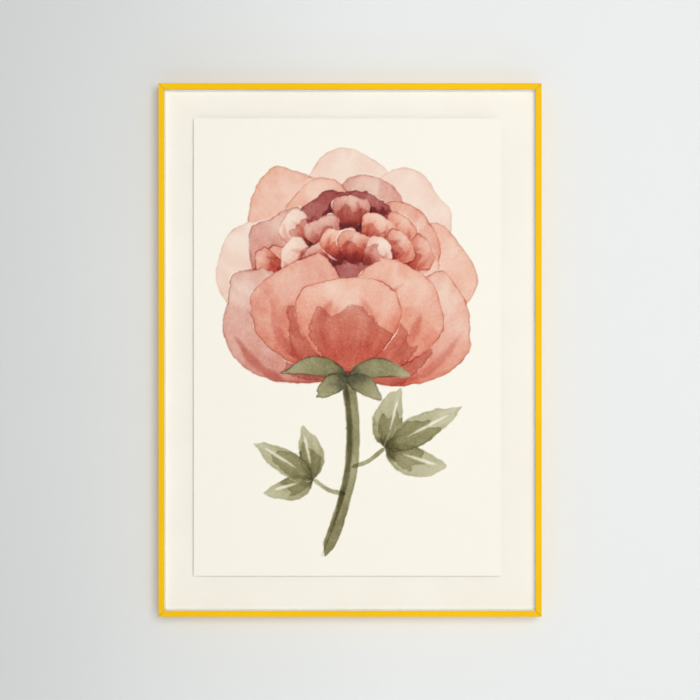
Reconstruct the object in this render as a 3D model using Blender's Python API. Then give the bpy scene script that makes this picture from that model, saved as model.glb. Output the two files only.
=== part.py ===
"""A slim metal picture frame that holds a float-mounted art print.

Metres, +Z up. The picture faces -Y and hangs on a wall whose plane is Y = 0. The origin lies on
that plane, midway between the two wall screws, level with their shanks.

Three lengths place every piece:
- depth, from the front face of the rails back towards the wall,
- inset, from the outer edge of the frame towards the middle of the picture,
- x and z, across and up the picture.
A rail and what sits in it is modelled as for the top rail and turned about Y for the others.
"""

import math

import bmesh
import bpy
from mathutils import Matrix, Vector

# Overall sizes
FRAME_WIDTH = 0.510
FRAME_HEIGHT = 0.710
SEAT_GAP = 0.0003  # left between pieces that touch

# Rail section: a face and an outer wall in front, a slotted channel for the hardware behind
FACE_WIDTH = 0.008
FACE_THICKNESS = 0.0016
OUTER_WALL = 0.0015
OUTER_EDGE_RADIUS = 0.0008
INNER_EDGE_RADIUS = 0.0005
EDGE_STEPS = 3
RAIL_WIDTH = 0.014  # of the channel at the back
CHANNEL_FLOOR = 0.0012
CHANNEL_WALL = 0.0012
CHANNEL_HEIGHT = 0.0046
LIP_THICKNESS = 0.0012

# The stack, front to back
GLAZING_THICKNESS = 0.0020
GLAZING_TO_PRINT = 0.0020
PRINT_THICKNESS = 0.0004
RISER_THICKNESS = 0.0050
MOUNT_BOARD_THICKNESS = 0.0014
HARDBOARD_THICKNESS = 0.0030
STACK_CLEARANCE = 0.0010  # between the stack's edges and the outer wall, all round
SPACER_PAST_FACE = 0.0008  # the spacers show this much inside the yellow face

# The print, floating in the opening
PRINT_MARGIN = 0.042  # from the opening's edge to the print's edge
PRINT_LEFT_OF_CENTRE = 0.0033
PRINT_ABOVE_CENTRE = 0.0038
RISER_INSIDE_PRINT = 0.025

# Leaf springs between the hardboard and the channel
SPRING_LENGTH = 0.050
SPRING_WIDTH = 0.014
SPRING_THICKNESS = 0.0005
SPRING_RISE = 0.0038  # over all, from the hardboard to the top of the bow
SPRING_FROM_END = 0.090
SPRING_STEPS = 12

# Corner hardware
ANGLE_ARM = 0.032
THREADED_ANGLE_THICKNESS = 0.0020
PLAIN_ANGLE_THICKNESS = 0.0010
SCREW_RADIUS = 0.0020
SCREW_CLEARANCE = 0.0003  # round a screw in its hole
SCREW_TO_LIP = 0.0004  # beside a screw in the channel's slot
SCREW_SLOT_WIDTH = 0.0008
SCREW_SLOT_DEPTH = 0.0010
SCREW_BELOW_LIPS = 0.0004
SCREW_ARC_STEPS = 7
SCREW_FROM_CORNER = 0.024
HOLE_STEPS = 20

# Hanger plates, clamped in the top rail
HANGER_THICKNESS = 0.0012
HANGER_WIDTH = 0.024
HANGER_FROM_SIDE = 0.105
HANGER_END_RADIUS = 0.006
SHANK_BELOW_TOP = 0.032  # the wall screw's shank, below the frame's top edge
KEYHOLE_SLOT_RADIUS = 0.0025
KEYHOLE_HEAD_RADIUS = 0.0050
KEYHOLE_LENGTH = 0.010  # from the shank's place down to the middle of the head's hole
HANGER_BELOW_KEYHOLE = 0.005

# Wall bumpers
BUMPER_RADIUS = 0.0060
BUMPER_TOP_RADIUS = 0.0048
BUMPER_HEIGHT = 0.0030
BUMPER_ROUNDING = 0.0006
BUMPER_FROM_CORNER = 0.050
BUMPER_STEPS = 24

# Depths that follow from the stack
GLAZING_FRONT = FACE_THICKNESS + SEAT_GAP
GLAZING_BACK = GLAZING_FRONT + GLAZING_THICKNESS
PRINT_FRONT = GLAZING_BACK + GLAZING_TO_PRINT
PRINT_BACK = PRINT_FRONT + PRINT_THICKNESS
RISER_FRONT = PRINT_BACK + SEAT_GAP
RISER_BACK = RISER_FRONT + RISER_THICKNESS
MOUNT_BOARD_FRONT = RISER_BACK + SEAT_GAP
MOUNT_BOARD_BACK = MOUNT_BOARD_FRONT + MOUNT_BOARD_THICKNESS
HARDBOARD_FRONT = MOUNT_BOARD_BACK + SEAT_GAP
HARDBOARD_BACK = HARDBOARD_FRONT + HARDBOARD_THICKNESS
SPRING_FRONT = HARDBOARD_BACK + SEAT_GAP
FLOOR_FRONT = SPRING_FRONT + SPRING_RISE + SEAT_GAP
FLOOR_BACK = FLOOR_FRONT + CHANNEL_FLOOR
LIP_FRONT = FLOOR_BACK + CHANNEL_HEIGHT
RAIL_DEPTH = LIP_FRONT + LIP_THICKNESS
WALL_DEPTH = RAIL_DEPTH + SEAT_GAP + BUMPER_HEIGHT

# Insets that follow from the section
STACK_INSET = OUTER_WALL + STACK_CLEARANCE
SPACER_WIDTH = FACE_WIDTH + SPACER_PAST_FACE - STACK_INSET
CHANNEL_INNER = RAIL_WIDTH - CHANNEL_WALL
CHANNEL_MIDDLE = (OUTER_WALL + CHANNEL_INNER) / 2
# The slot lets a screw and a hanger's step through side by side
SLOT_WIDTH = 2 * (SCREW_RADIUS + SCREW_TO_LIP) + HANGER_THICKNESS + SEAT_GAP
SLOT_OUTER = CHANNEL_MIDDLE - SLOT_WIDTH / 2
SLOT_INNER = CHANNEL_MIDDLE + SLOT_WIDTH / 2
HANGER_SCREW_INSET = SLOT_OUTER + SCREW_TO_LIP + SCREW_RADIUS

PRINT_WIDTH = FRAME_WIDTH - 2 * (FACE_WIDTH + PRINT_MARGIN)
PRINT_HEIGHT = FRAME_HEIGHT - 2 * (FACE_WIDTH + PRINT_MARGIN)
FRAME_CENTRE = Vector((0, -WALL_DEPTH, SHANK_BELOW_TOP - FRAME_HEIGHT / 2))
PRINT_OFFSET = Vector((-PRINT_LEFT_OF_CENTRE, 0, PRINT_ABOVE_CENTRE))

# Each side of the frame: its turn about Y, its length and its distance from the centre
SIDES = {
    "top": (0, FRAME_WIDTH, FRAME_HEIGHT / 2),
    "right": (90, FRAME_HEIGHT, FRAME_WIDTH / 2),
    "bottom": (180, FRAME_WIDTH, FRAME_HEIGHT / 2),
    "left": (270, FRAME_HEIGHT, FRAME_WIDTH / 2),
}
# Each corner: its turn about Y, and which way it lies from the centre, across and up
CORNERS = {
    "top_left": (0, -1, 1),
    "top_right": (90, 1, 1),
    "bottom_right": (180, 1, -1),
    "bottom_left": (270, -1, -1),
}


def clear_scene():
    for old in list(bpy.data.objects):
        bpy.data.objects.remove(old, do_unlink=True)


# Materials


def linear(byte):
    """One sRGB colour byte as the linear number that a shader takes."""
    value = byte / 255
    if value <= 0.04045:
        return value / 12.92
    return ((value + 0.055) / 1.055) ** 2.4


def material(name, red, green, blue, roughness, metallic=0.0, alpha=1.0):
    """A Principled BSDF material, its colour given in sRGB bytes."""
    made = bpy.data.materials.new(name)
    made.use_nodes = True
    shader = made.node_tree.nodes["Principled BSDF"]
    shader.inputs["Base Color"].default_value = (linear(red), linear(green), linear(blue), 1)
    shader.inputs["Roughness"].default_value = roughness
    shader.inputs["Metallic"].default_value = metallic
    shader.inputs["Alpha"].default_value = alpha
    return made


def make_materials():
    return {
        "yellow_coating": material("yellow_coating", 244, 194, 12, 0.42, metallic=0.3),
        "clear_glass": material("clear_glass", 240, 244, 244, 0.05, alpha=0.15),
        "white_plastic": material("white_plastic", 246, 245, 240, 0.6),
        "print_paper": material("print_paper", 247, 243, 231, 0.85),
        "foam_board": material("foam_board", 246, 246, 244, 0.8),
        "cream_board": material("cream_board", 245, 241, 230, 0.9),
        "hardboard": material("hardboard", 134, 96, 64, 0.75),
        "spring_steel": material("spring_steel", 150, 152, 156, 0.35, metallic=0.9),
        "zinc_steel": material("zinc_steel", 186, 189, 194, 0.4, metallic=0.9),
        "black_rubber": material("black_rubber", 34, 34, 36, 0.85),
    }


# Making and placing solids


def add_object(name, bm, finish, matrix):
    """Turns the bmesh into an object, with its place in the object's own transform."""
    bmesh.ops.recalc_face_normals(bm, faces=bm.faces)
    mesh = bpy.data.meshes.new(name)
    bm.to_mesh(mesh)
    bm.free()
    if finish:
        mesh.materials.append(finish)
    made = bpy.data.objects.new(name, mesh)
    bpy.context.scene.collection.objects.link(made)
    made.matrix_world = matrix
    return made


def side_matrix(side):
    """Local X runs along the side, Y is depth and Z points out of the frame, from its edge."""
    turn, _, reach = SIDES[side]
    rotation = Matrix.Rotation(math.radians(turn), 4, "Y")
    return Matrix.Translation(FRAME_CENTRE) @ rotation @ Matrix.Translation((0, 0, reach))


def corner_matrix(corner):
    """The frame's outer corner, turned so that the two arms run along local +X and -Z."""
    turn, across, up = CORNERS[corner]
    place = FRAME_CENTRE + Vector((across * FRAME_WIDTH / 2, 0, up * FRAME_HEIGHT / 2))
    return Matrix.Translation(place) @ Matrix.Rotation(math.radians(turn), 4, "Y")


def arc(centre_a, centre_b, radius, start, end, steps):
    """Points on a circle in any plane, as (a, b) pairs, from one angle in degrees to another."""
    angles = [math.radians(start + (end - start) * i / steps) for i in range(steps + 1)]
    return [(centre_a + radius * math.cos(t), centre_b + radius * math.sin(t)) for t in angles]


def sweep(bm, faces, vector):
    """Carries flat faces along the vector, which closes them into a solid."""
    grown = bmesh.ops.extrude_face_region(bm, geom=faces)["geom"]
    moved = [v for v in grown if isinstance(v, bmesh.types.BMVert)]
    bmesh.ops.translate(bm, verts=moved, vec=vector)
    return moved


def swept_outline(outline, vector):
    """A closed solid: one flat outline carried along the vector."""
    bm = bmesh.new()
    face = bm.faces.new([bm.verts.new(point) for point in outline])
    sweep(bm, [face], vector)
    return bm


def swept_plate(outline, holes, vector):
    """The same, with holes through the outline."""
    bm = bmesh.new()
    for loop in [outline] + holes:
        verts = [bm.verts.new(point) for point in loop]
        for one, other in zip(verts, verts[1:] + verts[:1]):
            bm.edges.new((one, other))
    bmesh.ops.triangle_fill(bm, use_beauty=True, use_dissolve=False, edges=bm.edges[:])
    sweep(bm, bm.faces[:], vector)
    return bm


def block(x_range, y_range, z_range):
    """A box between two values on each axis."""
    bm = bmesh.new()
    bmesh.ops.create_cube(bm, size=1.0)
    for axis, (low, high) in enumerate((x_range, y_range, z_range)):
        for v in bm.verts:
            v.co[axis] = low if v.co[axis] < 0 else high
    return bm


def sheet(name, width, height, front, back, offset, finish):
    """A flat rectangular layer of the stack."""
    bm = block((-width / 2, width / 2), (front, back), (-height / 2, height / 2))
    return add_object(name, bm, finish, Matrix.Translation(FRAME_CENTRE + offset))


# Rails


def rail_section():
    """The extrusion's outline as (inset, depth), starting at the face's outer front edge."""
    outer, inner = OUTER_EDGE_RADIUS, INNER_EDGE_RADIUS
    face = arc(outer, outer, outer, 180, 270, EDGE_STEPS)
    face += arc(FACE_WIDTH - inner, inner, inner, 270, 360, EDGE_STEPS)
    return face + [
        (FACE_WIDTH, FACE_THICKNESS),
        (OUTER_WALL, FACE_THICKNESS),
        (OUTER_WALL, FLOOR_FRONT),
        (RAIL_WIDTH, FLOOR_FRONT),
        (RAIL_WIDTH, RAIL_DEPTH),
        (SLOT_INNER, RAIL_DEPTH),
        (SLOT_INNER, LIP_FRONT),
        (CHANNEL_INNER, LIP_FRONT),
        (CHANNEL_INNER, FLOOR_BACK),
        (OUTER_WALL, FLOOR_BACK),
        (OUTER_WALL, LIP_FRONT),
        (SLOT_OUTER, LIP_FRONT),
        (SLOT_OUTER, RAIL_DEPTH),
        (0, RAIL_DEPTH),
    ]


def make_rail(side, finish):
    """One extrusion, mitred at both ends, with half the seat gap left at each mitre."""
    _, length, _ = SIDES[side]
    half = length / 2 - SEAT_GAP / 2 * math.sqrt(2)
    outline = [(0, depth, -inset) for inset, depth in rail_section()]
    bm = swept_outline(outline, (1, 0, 0))
    for v in bm.verts:
        reach = half + v.co.z
        v.co.x = reach if v.co.x > 0.5 else -reach
    return add_object("rail_" + side, bm, finish, side_matrix(side))


# The stack


def make_stack(finishes):
    """The flat layers behind the face, and the spacer strips round their edges."""
    full_width = FRAME_WIDTH - 2 * STACK_INSET
    full_height = FRAME_HEIGHT - 2 * STACK_INSET
    centred = Vector((0, 0, 0))
    sheet("glazing", full_width, full_height, GLAZING_FRONT, GLAZING_BACK,
          centred, finishes["clear_glass"])
    sheet("print_sheet", PRINT_WIDTH, PRINT_HEIGHT, PRINT_FRONT, PRINT_BACK,
          PRINT_OFFSET, finishes["print_paper"])
    sheet("riser_board", PRINT_WIDTH - 2 * RISER_INSIDE_PRINT, PRINT_HEIGHT - 2 * RISER_INSIDE_PRINT,
          RISER_FRONT, RISER_BACK, PRINT_OFFSET, finishes["foam_board"])
    sheet("mount_board", full_width, full_height, MOUNT_BOARD_FRONT, MOUNT_BOARD_BACK,
          centred, finishes["cream_board"])
    sheet("hardboard_back", full_width, full_height, HARDBOARD_FRONT, HARDBOARD_BACK,
          centred, finishes["hardboard"])


def make_spacer(side, finish):
    """The top and bottom strips run full width, and the side strips stand between them."""
    _, length, _ = SIDES[side]
    shortening = STACK_INSET
    if side in ("left", "right"):
        shortening += SPACER_WIDTH + SEAT_GAP
    half = length / 2 - shortening
    depths = (GLAZING_BACK + SEAT_GAP, MOUNT_BOARD_FRONT - SEAT_GAP)
    bm = block((-half, half), depths, (-STACK_INSET - SPACER_WIDTH, -STACK_INSET))
    return add_object("spacer_" + side, bm, finish, side_matrix(side))


# Springs


def spring_outline():
    """A bowed leaf as (x, depth): its ends rest on the hardboard, its middle meets the channel."""
    half = SPRING_LENGTH / 2
    rise = SPRING_RISE - SPRING_THICKNESS
    radius = (half**2 + rise**2) / (2 * rise)
    spread = math.degrees(math.asin(half / radius))
    centre = SPRING_FRONT + rise - radius
    front = arc(0, centre, radius, 90 + spread, 90 - spread, SPRING_STEPS)
    back = [(x, depth + SPRING_THICKNESS) for x, depth in reversed(front)]
    return front + back


def make_springs(side, finish):
    """Two leaves on a short rail and three on a long one."""
    _, length, _ = SIDES[side]
    reach = length / 2 - SPRING_FROM_END
    places = [-reach, 0, reach] if side in ("left", "right") else [-reach, reach]
    outer = -(OUTER_WALL + SEAT_GAP)
    for number, place in enumerate(places, start=1):
        outline = [(place + x, depth, outer) for x, depth in spring_outline()]
        bm = swept_outline(outline, (0, 0, -SPRING_WIDTH))
        leaf = add_object("spring_%s_%d" % (side, number), bm, finish, side_matrix(side))
        leaf.data.shade_smooth()
        leaf.data.set_sharp_from_angle(angle=math.radians(30))


# Corner hardware


def make_angle(kind, corner, front, thickness, holes, finish):
    """An L-shaped plate that slides into the channels of two rails."""
    low = OUTER_WALL + SEAT_GAP
    high = CHANNEL_INNER - SEAT_GAP
    end = OUTER_WALL + ANGLE_ARM
    shape = [(low, low), (end, low), (end, high), (high, high), (high, end), (low, end)]
    outline = [(x, front, -z) for x, z in shape]
    rings = [[(x, front, -z) for x, z in ring] for ring in holes]
    bm = swept_plate(outline, rings, (0, thickness, 0))
    return add_object(kind + "_" + corner, bm, finish, corner_matrix(corner))


def screw_places():
    """The two screws of a corner as (x, z down) from the outer corner, one in each arm."""
    return [(SCREW_FROM_CORNER, CHANNEL_MIDDLE), (CHANNEL_MIDDLE, SCREW_FROM_CORNER)]


def slotted_screw(x, inset, tip, head):
    """A headless screw from the tip's depth to the head's, with a slot across its end."""
    flat = math.degrees(math.asin(SCREW_SLOT_WIDTH / 2 / SCREW_RADIUS))
    upper = arc(x, -inset, SCREW_RADIUS, flat, 180 - flat, SCREW_ARC_STEPS)
    lower = arc(x, -inset, SCREW_RADIUS, 180 + flat, 360 - flat, SCREW_ARC_STEPS)
    bm = bmesh.new()
    upper = [bm.verts.new((a, head - SCREW_SLOT_DEPTH, b)) for a, b in upper]
    lower = [bm.verts.new((a, head - SCREW_SLOT_DEPTH, b)) for a, b in lower]
    halves = [bm.faces.new(upper), bm.faces.new(lower)]
    floor = bm.faces.new([upper[0], upper[-1], lower[0], lower[-1]])
    bmesh.ops.recalc_face_normals(bm, faces=bm.faces)
    sweep(bm, halves + [floor], (0, tip - (head - SCREW_SLOT_DEPTH), 0))
    tops = [f for f in bm.faces if set(f.verts) in (set(upper), set(lower))]
    raised = bmesh.ops.extrude_discrete_faces(bm, faces=tops)["faces"]
    bmesh.ops.translate(bm, verts=[v for f in raised for v in f.verts], vec=(0, SCREW_SLOT_DEPTH, 0))
    return bm


def make_corner(corner, finishes):
    """The threaded angle, the plain angle behind it and the two screws that spread them."""
    hole_radius = SCREW_RADIUS + SCREW_CLEARANCE
    holes = [arc(x, z, hole_radius, 0, 360, HOLE_STEPS)[:-1] for x, z in screw_places()]
    plain_front = FLOOR_BACK + SEAT_GAP
    plain_back = plain_front + PLAIN_ANGLE_THICKNESS
    threaded_front = LIP_FRONT - SEAT_GAP - THREADED_ANGLE_THICKNESS
    zinc = finishes["zinc_steel"]
    make_angle("plain_angle", corner, plain_front, PLAIN_ANGLE_THICKNESS, [], zinc)
    make_angle("threaded_angle", corner, threaded_front, THREADED_ANGLE_THICKNESS, holes, zinc)
    for letter, (x, inset) in zip("ab", screw_places()):
        bm = slotted_screw(x, inset, plain_back + SEAT_GAP, RAIL_DEPTH - SCREW_BELOW_LIPS)
        name = "corner_screw_%s_%s" % (corner, letter)
        add_object(name, bm, finishes["spring_steel"], corner_matrix(corner))


# Hangers


def hanger_section():
    """The plate's outline as (inset, depth): a foot under the lips, a step, and a long flap."""
    foot_back = LIP_FRONT - SEAT_GAP
    foot_front = foot_back - HANGER_THICKNESS
    step_inner = SLOT_INNER - SEAT_GAP
    flap_front = RAIL_DEPTH + SEAT_GAP
    flap_back = flap_front + HANGER_THICKNESS
    flap_end = SHANK_BELOW_TOP + KEYHOLE_LENGTH + KEYHOLE_HEAD_RADIUS + HANGER_BELOW_KEYHOLE
    return [
        (OUTER_WALL + SEAT_GAP, foot_front),
        (CHANNEL_INNER - SEAT_GAP, foot_front),
        (CHANNEL_INNER - SEAT_GAP, foot_back),
        (step_inner, foot_back),
        (step_inner, flap_front),
        (flap_end, flap_front),
        (flap_end, flap_back),
        (step_inner - HANGER_THICKNESS, flap_back),
        (step_inner - HANGER_THICKNESS, foot_back),
        (OUTER_WALL + SEAT_GAP, foot_back),
    ]


def keyhole_outline():
    """A slot for the shank with a hole for the head below it, as (x, z) about the shank."""
    spread = math.degrees(math.acos(KEYHOLE_SLOT_RADIUS / KEYHOLE_HEAD_RADIUS))
    slot_end = arc(0, 0, KEYHOLE_SLOT_RADIUS, 0, 180, HOLE_STEPS // 2)
    head = arc(0, -KEYHOLE_LENGTH, KEYHOLE_HEAD_RADIUS, 180 - spread, 360 + spread, HOLE_STEPS)
    return slot_end + head


def add_cutter(name, outline, depths, matrix):
    """A solid that is only there to be subtracted."""
    low, high = depths
    bm = swept_outline([(x, low, z) for x, z in outline], (0, high - low, 0))
    cutter = add_object(name, bm, None, matrix)
    cutter.hide_render = True
    cutter.display_type = "WIRE"
    return cutter


def subtract(target, cutter):
    modifier = target.modifiers.new("subtract " + cutter.name, "BOOLEAN")
    modifier.operation = "DIFFERENCE"
    modifier.object = cutter


def round_flap_corners(bm):
    """Rounds the two free corners at the flap's end, which is its lowest edge."""
    lowest = min(v.co.z for v in bm.verts)
    corners = [
        e for e in bm.edges
        if all(abs(v.co.z - lowest) < SEAT_GAP for v in e.verts)
        and abs(e.verts[0].co.x - e.verts[1].co.x) < SEAT_GAP
    ]
    bmesh.ops.bevel(bm, geom=corners, offset=HANGER_END_RADIUS, segments=5, profile=0.5,
                    affect="EDGES")


def make_hanger(side, across, finishes):
    """A keyhole plate held in the top rail's channel by its own screw."""
    x = across * (FRAME_WIDTH / 2 - HANGER_FROM_SIDE)
    matrix = side_matrix("top") @ Matrix.Translation((x, 0, 0))
    half = HANGER_WIDTH / 2
    outline = [(-half, depth, -inset) for inset, depth in hanger_section()]
    bm = swept_outline(outline, (HANGER_WIDTH, 0, 0))
    bmesh.ops.recalc_face_normals(bm, faces=bm.faces)
    round_flap_corners(bm)
    plate = add_object("hanger_" + side, bm, finishes["zinc_steel"], matrix)

    keyhole = [(a, b - SHANK_BELOW_TOP) for a, b in keyhole_outline()]
    past = HANGER_THICKNESS
    flap = (RAIL_DEPTH + SEAT_GAP - past, RAIL_DEPTH + SEAT_GAP + HANGER_THICKNESS + past)
    subtract(plate, add_cutter("keyhole_cutter_" + side, keyhole, flap, matrix))

    hole = arc(0, -HANGER_SCREW_INSET, SCREW_RADIUS + SCREW_CLEARANCE, 0, 360, HOLE_STEPS)[:-1]
    foot = (FLOOR_BACK, LIP_FRONT)
    subtract(plate, add_cutter("screw_hole_cutter_" + side, hole, foot, matrix))

    tip = FLOOR_BACK + SEAT_GAP
    bm = slotted_screw(0, HANGER_SCREW_INSET, tip, RAIL_DEPTH - SCREW_BELOW_LIPS)
    add_object("hanger_screw_" + side, bm, finishes["spring_steel"], matrix)


# Bumpers


def make_bumper(corner, finish):
    """A rubber foot on the back of a side rail, over the channel's slot."""
    bm = bmesh.new()
    bmesh.ops.create_cone(bm, cap_ends=True, segments=BUMPER_STEPS, radius1=BUMPER_RADIUS,
                          radius2=BUMPER_TOP_RADIUS, depth=BUMPER_HEIGHT)
    highest = BUMPER_HEIGHT / 2 - SEAT_GAP
    rim = [e for e in bm.edges if all(v.co.z > highest for v in e.verts)]
    bmesh.ops.bevel(bm, geom=rim, offset=BUMPER_ROUNDING, segments=3, profile=0.5, affect="EDGES")
    bmesh.ops.rotate(bm, verts=bm.verts, matrix=Matrix.Rotation(math.radians(-90), 3, "X"))
    _, across, up = CORNERS[corner]
    depth = RAIL_DEPTH + SEAT_GAP + BUMPER_HEIGHT / 2
    x = across * (FRAME_WIDTH / 2 - CHANNEL_MIDDLE)
    z = up * (FRAME_HEIGHT / 2 - BUMPER_FROM_CORNER)
    bumper = add_object("bumper_" + corner, bm, finish,
                        Matrix.Translation(FRAME_CENTRE + Vector((x, depth, z))))
    bumper.data.shade_smooth()
    bumper.data.set_sharp_from_angle(angle=math.radians(40))


def main():
    clear_scene()
    finishes = make_materials()
    for side in SIDES:
        make_rail(side, finishes["yellow_coating"])
        make_spacer(side, finishes["white_plastic"])
        make_springs(side, finishes["spring_steel"])
    make_stack(finishes)
    for corner in CORNERS:
        make_corner(corner, finishes)
        make_bumper(corner, finishes["black_rubber"])
    make_hanger("left", -1, finishes)
    make_hanger("right", 1, finishes)


main()
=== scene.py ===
# %% [markdown]
# # A float-mounted flower print in a slim yellow frame
#
# The object is a picture, ready to hang: four mitred rails of coated aluminium hold a pane of
# glass, and behind it a watercolour print floats a few millimetres in front of a cream board.
# The CAD model brings every rail, board, spring and screw in its right place. This script gives
# them their looks, and paints the print. Everything is in metres, +Z is up, and the picture
# faces -Y with the wall at Y = 0.

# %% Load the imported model
import math

import bmesh
import bpy
import numpy as np
from mathutils import Matrix, Vector


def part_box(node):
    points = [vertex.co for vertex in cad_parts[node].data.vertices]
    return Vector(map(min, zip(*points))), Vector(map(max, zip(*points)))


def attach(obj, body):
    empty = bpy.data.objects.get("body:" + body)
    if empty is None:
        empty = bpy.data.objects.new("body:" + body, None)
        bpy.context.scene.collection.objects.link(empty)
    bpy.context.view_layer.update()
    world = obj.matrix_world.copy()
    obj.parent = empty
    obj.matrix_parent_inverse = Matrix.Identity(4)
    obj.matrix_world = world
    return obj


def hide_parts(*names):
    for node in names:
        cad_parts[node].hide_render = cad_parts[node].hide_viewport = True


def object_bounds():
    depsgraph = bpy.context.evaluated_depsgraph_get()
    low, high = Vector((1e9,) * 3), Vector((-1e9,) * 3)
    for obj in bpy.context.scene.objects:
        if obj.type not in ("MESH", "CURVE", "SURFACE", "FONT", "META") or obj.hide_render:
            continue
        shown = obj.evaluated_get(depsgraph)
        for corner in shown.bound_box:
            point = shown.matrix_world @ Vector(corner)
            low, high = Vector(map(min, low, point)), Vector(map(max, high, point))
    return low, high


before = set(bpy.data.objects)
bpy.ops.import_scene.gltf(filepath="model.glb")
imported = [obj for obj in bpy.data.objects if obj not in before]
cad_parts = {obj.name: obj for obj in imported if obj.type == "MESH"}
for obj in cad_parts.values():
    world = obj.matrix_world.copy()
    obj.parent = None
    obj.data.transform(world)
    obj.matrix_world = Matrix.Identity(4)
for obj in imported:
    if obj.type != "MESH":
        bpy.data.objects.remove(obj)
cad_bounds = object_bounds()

print("nodes in the model:", len(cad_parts))

# %% [markdown]
# ## Places and sizes
#
# Nothing here is measured by eye. The corners of the CAD nodes say where the sheet, the boards
# and the rails are, so the looks still fit if the model changes.

# %% Read places from the CAD nodes
sheet_low, sheet_high = (Vector(corner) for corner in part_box("print_sheet"))
sheet_centre = (sheet_low + sheet_high) / 2
sheet_size = sheet_high - sheet_low
picture_low, picture_high = (Vector(corner) for corner in cad_bounds)
picture_centre = (picture_low + picture_high) / 2
picture_size = picture_high - picture_low
print("picture %.0f x %.0f mm" % (picture_size.x * 1000, picture_size.z * 1000))
print("sheet %.0f x %.0f mm" % (sheet_size.x * 1000, sheet_size.z * 1000))

# %% [markdown]
# ## Shader maths as Python
#
# A procedural finish is a formula over the surface. Wiring each plus and times by hand hides the
# formula, so a small class wraps one output of a node: adding or multiplying two of them adds
# the Math node that does it. Every other node comes from the one method `node`, which sets the
# node's settings first and then its sockets.


# %% Wrap a node's output
class Wire:
    """One output of a shader node, or just the tree when there is no socket yet."""

    def __init__(self, tree, socket=None):
        self.tree = tree
        self.socket = socket

    def node(self, kind, settings=None, sockets=None, output=0):
        made = self.tree.nodes.new(kind)
        for name, value in (settings or {}).items():
            if name == "stops":
                self.set_stops(made.color_ramp, value)
            else:
                setattr(made, name, value)
        for name, value in (sockets or {}).items():
            self.connect(made.inputs[name], value)
        return Wire(self.tree, made.outputs[output])

    def set_stops(self, ramp, stops):
        while len(ramp.elements) < len(stops):
            ramp.elements.new(1.0)
        for element, (position, colour) in zip(ramp.elements, stops):
            element.position = position
            element.color = (*colour, 1.0)

    def connect(self, socket, value):
        if isinstance(value, Wire):
            self.tree.links.new(value.socket, socket)
        else:
            socket.default_value = value

    def maths(self, operation, *values):
        return self.node("ShaderNodeMath", {"operation": operation}, dict(enumerate(values)))

    def __add__(self, other):
        return self.maths("ADD", self, other)

    def __sub__(self, other):
        return self.maths("SUBTRACT", self, other)

    def __rsub__(self, other):
        return self.maths("SUBTRACT", other, self)

    def __mul__(self, other):
        return self.maths("MULTIPLY", self, other)

    def __truediv__(self, other):
        return self.maths("DIVIDE", self, other)

    def __pow__(self, other):
        return self.maths("POWER", self, other)

    __radd__ = __add__
    __rmul__ = __mul__


def linear(*srgb_bytes):
    """An sRGB colour, as a painter's swatch gives it, in the linear numbers a shader takes."""
    values = [byte / 255 for byte in srgb_bytes]
    return tuple(v / 12.92 if v <= 0.04045 else ((v + 0.055) / 1.055) ** 2.4 for v in values)


def mix_colours(factor, first, second, blend="MIX"):
    """Two colours through a Mix node; each may be a wire or a plain colour."""
    inputs = {0: factor}
    for place, colour in ((6, first), (7, second)):
        inputs[place] = colour if isinstance(colour, Wire) else (*colour, 1.0)
    return factor_tree(factor, first, second).node(
        "ShaderNodeMix", {"data_type": "RGBA", "blend_type": blend}, inputs, output=2)


def factor_tree(*candidates):
    """Any wire among the candidates, to reach its tree."""
    return next(candidate for candidate in candidates if isinstance(candidate, Wire))


def new_finish(name):
    """An empty finish: the material, a wire into its tree, and its Principled shader."""
    material = bpy.data.materials.new(name)
    material.use_nodes = True
    return material, Wire(material.node_tree), material.node_tree.nodes["Principled BSDF"]


def set_shader(shader, **values):
    """Sets sockets by name, with underscores for spaces. Wires are linked, numbers are set."""
    tree = Wire(shader.id_data)
    for name, value in values.items():
        tree.connect(shader.inputs[name.replace("_", " ")], value)


def noise(tree, coordinates, scale, detail=2.0, roughness=0.5, distortion=0.0):
    """Soft random values about 0.5, with bumps 1 / scale metres wide."""
    return tree.node(
        "ShaderNodeTexNoise", {},
        {"Vector": coordinates, "Scale": scale, "Detail": detail, "Roughness": roughness,
         "Distortion": distortion}, output="Fac")


def bump(tree, height, distance, strength=1.0):
    """A surface normal tilted by a height field; distance is the height's depth in metres."""
    return tree.node("ShaderNodeBump", {},
                     {"Height": height, "Distance": distance, "Strength": strength},
                     output="Normal")


def between(value, low, high):
    """0 below low, 1 above high, and a smooth step between them."""
    return value.node("ShaderNodeMapRange", {"interpolation_type": "SMOOTHSTEP"},
                      {"Value": value, "From Min": low, "From Max": high})


# %% [markdown]
# ## Powder coating on the rails
#
# The rails are aluminium with a baked powder coat. Powder melts into an almost smooth skin with
# a faint orange peel, so the colour is flat, the gloss is broad and the bumps are a fraction of
# a millimetre wide. Two noises are enough: one for the peel, a slow one for the small changes of
# colour and gloss along a rail.


# %% Yellow powder coating
def make_yellow_coating():
    material, tree, shader = new_finish("yellow_coating")
    place = tree.node("ShaderNodeTexCoord", output="Object")
    peel = noise(tree, place, 900.0, detail=2.0)
    drift = noise(tree, place, 9.0, detail=3.0)
    colour = mix_colours(between(drift, 0.3, 0.7), linear(241, 189, 0), linear(246, 194, 0))
    set_shader(shader, Base_Color=colour, Roughness=0.55 + 0.10 * drift,
               Normal=bump(tree, peel, 0.00004, 0.5))
    shader.inputs["Specular IOR Level"].default_value = 0.12
    return material


yellow_coating = make_yellow_coating()

# %% [markdown]
# ## Boards, paper and the other plain finishes
#
# Card and paper are felted fibre: the colour hardly changes, and what the eye reads is a soft
# tooth on the surface. Hardboard is darker, pressed fibre with flecks and a fine weave on its
# back. Metal hardware is rolled or zinc plated, which shows as a slight streak or mottle in the
# gloss rather than in the colour.


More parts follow.
